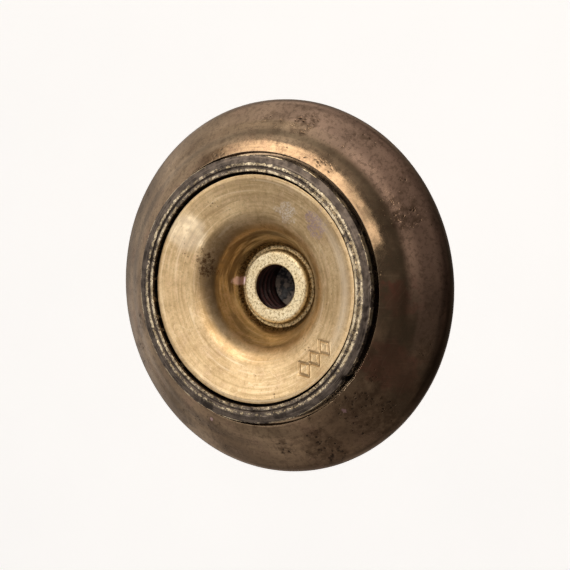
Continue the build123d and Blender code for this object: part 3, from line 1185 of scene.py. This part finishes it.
def cast_lead_finish():
    finish = Finish("cast_lead", metallic=0.8)
    clouds = finish.cloud(5.0, 5.0)
    colour = finish.paint(finish.level(clouds, 0.3, 0.7), (0.16, 0.165, 0.175), (0.34, 0.34, 0.35))
    return finish.wear(colour, finish.level(clouds, 0.3, 0.7, 0.5, 0.7), finish.relief((clouds, 0.25)))


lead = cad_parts["lead_ballast"]
lead.data.materials.clear()
lead.data.materials.append(cast_lead_finish())
print("lead finished with", lead.data.materials[0].name)

# %% Draw the point's section and spin it
POINT_STEPS = 160
CONE, SHANK = 0, 1
POINT_THREAD = (1.25, 0.55, 0.2)
shank_radius = 3.25
shank_chamfer = 0.5
point_land = 1.5
tip_round = 0.3
shank_step = 0.16
land_z = foot_z - point_land

point = Outline(0, shank_top_z, SHANK)
point.line(shank_radius - shank_chamfer, shank_top_z, 3)
point.line(shank_radius, shank_top_z - shank_chamfer, 2)
point.line(shank_radius, foot_z, int((shank_top_z - foot_z) / shank_step))
point.enter(CONE)
point.line(point_radius, foot_z, 4)
point.line(point_radius, land_z, 5)
point.line(tip_round, tip_z + tip_round, 60)
point.line(0, tip_z)
point.soften(point_radius, foot_z, 0.2, 3)
point.soften(tip_round, tip_z + tip_round, 0.15, 3)
point_form = turn(point, POINT_STEPS)
print("point section spun into", len(point_form.faces), "faces")

# %% Cut the point's thread and hand it over
point_zones = point_form.verts.layers.int["zone"]


def point_depth(vertex):
    if vertex[point_zones] == SHANK and hypot(vertex.co.x, vertex.co.y) > shank_radius - 0.1:
        return thread_depth(vertex.co, *POINT_THREAD, foot_z + 1.0, shank_top_z)
    return ripple(vertex.co, 0.008, 1.5) if vertex.co.z < foot_z else 0.0


carve(point_form, point_depth)
turned_point = hand_over(
    point_form, "turned_point", "point", "steel_point", [point_steel_finish()]
)

# %% [markdown]
# ## The camera
# The bob is seen from above and to one side, with the dish turned to the left of the
# picture.  The camera's place follows from three choices: how far it stands from the
# girth, how far it tilts off the bob's axis, and how far it rolls about its own.

# %% Set the camera
CAMERA_DISTANCE = 0.300
CAMERA_TILT = radians(30.2)
CAMERA_ROLL = radians(-96.4)
CAMERA_LENS = 100.9
AIM_RIGHT, AIM_UP = 0.00066, 0.00022

turned = Matrix.Rotation(CAMERA_TILT, 4, "X") @ Matrix.Rotation(CAMERA_ROLL, 4, "Z")
stand = Vector((0, 0, girth_z * MM)) + turned @ Vector((AIM_RIGHT, AIM_UP, CAMERA_DISTANCE))
camera = bpy.data.objects.new("camera", bpy.data.cameras.new("camera"))
camera.matrix_world = Matrix.Translation(stand) @ turned
camera.data.lens = CAMERA_LENS
camera.data.clip_start = 0.01
bpy.context.scene.collection.objects.link(camera)
bpy.context.scene.camera = camera
bpy.context.scene.view_settings.view_transform = "Standard"
print("camera at", [round(value, 4) for value in stand])

# %% [markdown]
# ## Floor and light
# Polished metal is lit by what it mirrors, so the light is planned as a room: a broad
# soft light and a small one over the dish, one long curved light beside the bob, and a
# dim world that is darkest behind the camera.  The pale floor lies well under the bob,
# and it is left out of reflections, so that the underside keeps its depth.


# %% Lay the floor
FLOOR_DROP = 0.30
FLOOR_REACH = 6.0
FLOOR_GLOW = 0.50
floor_form = bmesh.new()
bmesh.ops.create_grid(floor_form, x_segments=1, y_segments=1, size=FLOOR_REACH)
bmesh.ops.translate(floor_form, vec=(0, 0, cad_low.z - FLOOR_DROP), verts=floor_form.verts)
floor_finish = Finish("pale_floor")
dapple = floor_finish.cloud(60.0, 3.0)
pale = floor_finish.paint(floor_finish.level(dapple, 0.3, 0.7), (0.86, 0.89, 0.93), (0.88, 0.91, 0.95))
floor_finish.shader.inputs["Emission Color"].default_value = (1, 1, 1, 1)
floor_finish.shader.inputs["Emission Strength"].default_value = FLOOR_GLOW
floor_piece = make_object(floor_form, "floor", [floor_finish.wear(pale, 0.9)])
floor_piece.visible_glossy = False


# %% Hang the lights
SOFT_WHITE = (1.0, 0.97, 0.92)


def softbox(name, place, size, radiance):
    """A square soft light at a place, turned to the hole, with a brightness per area."""
    light = bpy.data.lights.new(name, "AREA")
    light.shape = "RECTANGLE"
    light.size = size
    light.size_y = size
    light.energy = radiance * pi * size * size
    light.color = SOFT_WHITE
    lamp = bpy.data.objects.new(name, light)
    facing = (-place).to_track_quat("-Z", "Y").to_matrix().to_4x4()
    lamp.matrix_world = Matrix.Translation(place) @ facing
    bpy.context.scene.collection.objects.link(lamp)
    print(name, "gives", round(light.energy, 2), "W")


softbox("dish_light", Vector((0.30, 0.24, 0.72)), 0.60, 1.25)
softbox("overhead_light", Vector((-0.25, 0.16, 0.74)), 0.09, 9.0)

# %% [markdown]
# ## The long light
# The warm band that runs along the land comes from one long light that curves round the
# bob.  An area light can't curve, so this one is a strip of glowing mesh: a straight edge
# is spun part of the way round the line that a level mirror would send the view along.
# It glows warm and fades towards its far end, and the camera itself doesn't see it.

# %% Bend the long light
COVE_AXIS = Vector((-0.123, 0.466, 0.876)).normalized()
COVE_START = Vector((0.267, -0.661, 0.701))
COVE_SWEEP = radians(111)
COVE_NEAR, COVE_FAR = radians(44), radians(67)
COVE_DISTANCE = 0.6
COVE_STRENGTH = 2.55
COVE_STEPS = 40
COVE_FADE = (180, 450)

outward = (COVE_START - COVE_AXIS * COVE_START.dot(COVE_AXIS)).normalized()
cove_form = bmesh.new()
cove_edge = [
    cove_form.verts.new((COVE_AXIS * cos(angle) + outward * sin(angle)) * COVE_DISTANCE)
    for angle in (COVE_NEAR, COVE_FAR)
]
cove_form.edges.new(cove_edge)
bmesh.ops.spin(
    cove_form,
    geom=cove_form.verts[:] + cove_form.edges[:],
    cent=(0, 0, 0),
    axis=COVE_AXIS,
    angle=COVE_SWEEP,
    steps=COVE_STEPS,
)
print("long light bent into", len(cove_form.faces), "faces")

# %% Light it
cove_finish = Finish("cove_glow")
far_end = cove_finish.node("SeparateXYZ", {0: cove_finish.place}).outputs["Y"]
glow = cove_finish.paint(cove_finish.level(far_end, *COVE_FADE), (1.0, 0.86, 0.70), (0.05, 0.04, 0.035))
feed(cove_finish.tree, cove_finish.shader.inputs["Emission Color"], glow)
cove_finish.shader.inputs["Emission Strength"].default_value = COVE_STRENGTH
cove_finish.shader.inputs["Base Color"].default_value = (0.02, 0.02, 0.02, 1)
cove = make_object(cove_form, "cove_light", [cove_finish.material])
cove.visible_camera = False

# %% Dim the room
TOWARDS_WINDOW = (0.40, 0.80, 0.40)
DARK_SIDE = (0.03, 0.022, 0.018, 1)
HALFWAY = (0.20, 0.17, 0.15, 1)
WINDOW_SIDE = (0.62, 0.58, 0.53, 1)
UNEVENNESS = {"From Min": 0.35, "From Max": 0.65, "To Min": 0.6, "To Max": 1.4}

world = bpy.data.worlds.new("room")
bpy.context.scene.world = world
world.use_nodes = True
room = world.node_tree
direction = add_node(room, "TexCoord").outputs["Generated"]
along = add_node(room, "VectorMath", {0: direction, 1: TOWARDS_WINDOW}, operation="DOT_PRODUCT")
centred = add_node(room, "MapRange", {"Value": along.outputs["Value"], "From Min": -1.0})
fade = add_node(room, "ValToRGB", {0: centred.outputs[0]})
fade.color_ramp.elements[0].color = DARK_SIDE
fade.color_ramp.elements[1].color = WINDOW_SIDE
fade.color_ramp.elements.new(0.5).color = HALFWAY
furniture = add_node(room, "TexNoise", {"Vector": direction, "Scale": 2.3})
uneven = add_node(room, "MapRange", {"Value": furniture.outputs["Fac"], **UNEVENNESS})
background = room.nodes["Background"]
feed(room, background.inputs["Strength"], uneven.outputs[0])
feed(room, background.inputs["Color"], fade.outputs[0])
print("room made of", len(room.nodes), "nodes")
